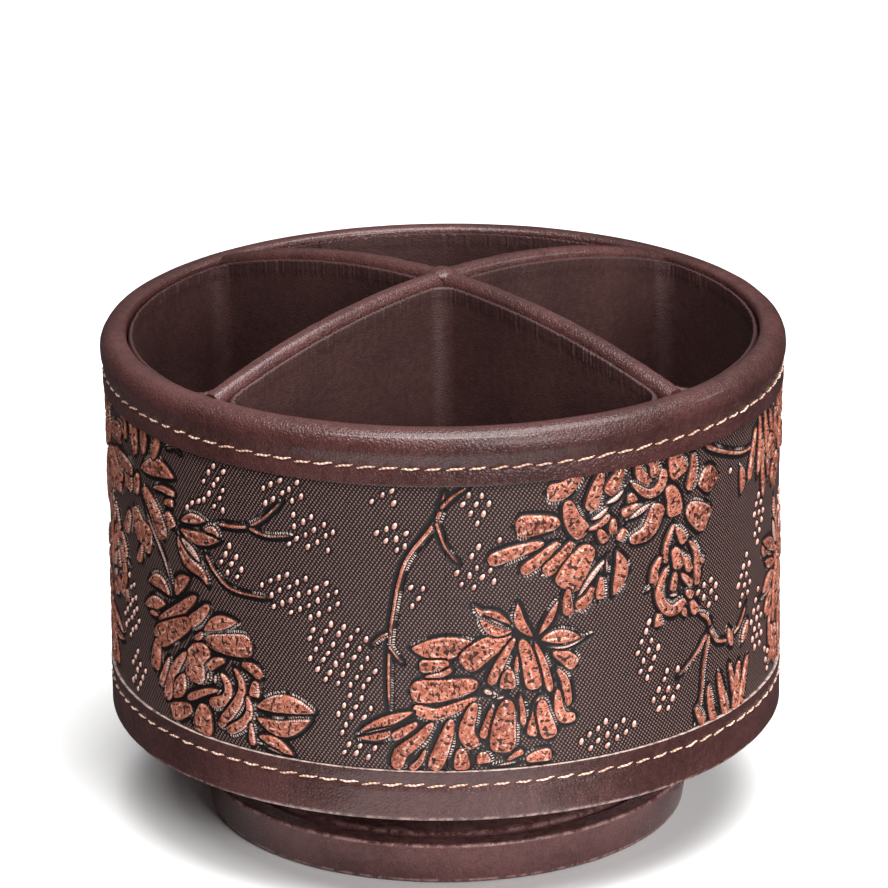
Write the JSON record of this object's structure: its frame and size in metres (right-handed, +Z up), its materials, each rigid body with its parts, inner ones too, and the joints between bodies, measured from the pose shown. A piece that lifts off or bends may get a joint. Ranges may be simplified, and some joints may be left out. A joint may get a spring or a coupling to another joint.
{
  "type": "rotating pen holder cup",
  "caption": "Round leather-covered desk holder for pens and tools, with crossed arched dividers, an embossed floral side panel and a low swivel base.",
  "frame": {"origin": "centre of the underside of the felt under the base, on the desk", "axes": "+Z up along the swivel axis; the dividers run along X and Y; the side seen in use is towards +X, -Y"},
  "size_m": [0.1614, 0.1614, 0.1324],
  "materials": {
    "covering leather": "dark red-brown grained artificial leather",
    "embossed leather": "embossed artificial leather with copper-coloured relief",
    "lining leather": "soft matt artificial leather",
    "fibreboard": "raw fibreboard",
    "felt": "pressed felt",
    "moulded plastic": "moulded",
    "cage plastic": "natural nylon",
    "steel": "zinc plated",
    "ball steel": "polished",
    "thread": "waxed polyester thread"
  },
  "bodies": {
    "base": {"base_felt": "felt", "base_core": "fibreboard", "base_cover": "covering leather", "base_top_disc": "covering leather", "swivel_lower_race": "moulded plastic", "lower_race_screws": "steel", "pivot_rivet": "steel", "pivot_washer": "steel"},
    "ball_ring": {"ball_cage": "cage plastic", "bearing_balls": "ball steel"},
    "cup": {"back_floor_felt": "felt", "back_lining": "lining leather", "crossing_patch": "covering leather", "cup_floor": "fibreboard", "divider_board_x": "fibreboard", "divider_board_y": "fibreboard", "divider_wrap_x": "covering leather", "divider_wrap_y_left": "covering leather", "divider_wrap_y_right": "covering leather", "embossed_panel": "embossed leather", "front_floor_felt": "felt", "front_lining": "lining leather", "left_floor_felt": "felt", "left_lining": "lining leather", "lower_band": "covering leather", "lower_stitching": "thread", "right_floor_felt": "felt", "right_lining": "lining leather", "rim_band": "covering leather", "rim_stitching": "thread", "swivel_upper_race": "moulded plastic", "underside_cover": "covering leather", "upper_race_screws": "steel", "wall_core": "fibreboard"}
  },
  "joints": [
    {"name": "cup_spin", "type": "hinge", "parent": "base", "child": "cup", "pos_m": [0, 0, 0.018], "axis": [0, 0, 1], "continuous": true},
    {"name": "ball_ring_spin", "type": "hinge", "parent": "base", "child": "ball_ring", "pos_m": [0, 0, 0.018], "axis": [0, 0, 1], "continuous": true}
  ],
  "couplings": [
    {"joint": "ball_ring_spin", "follows": "cup_spin", "ratio": 0.5}
  ]
}
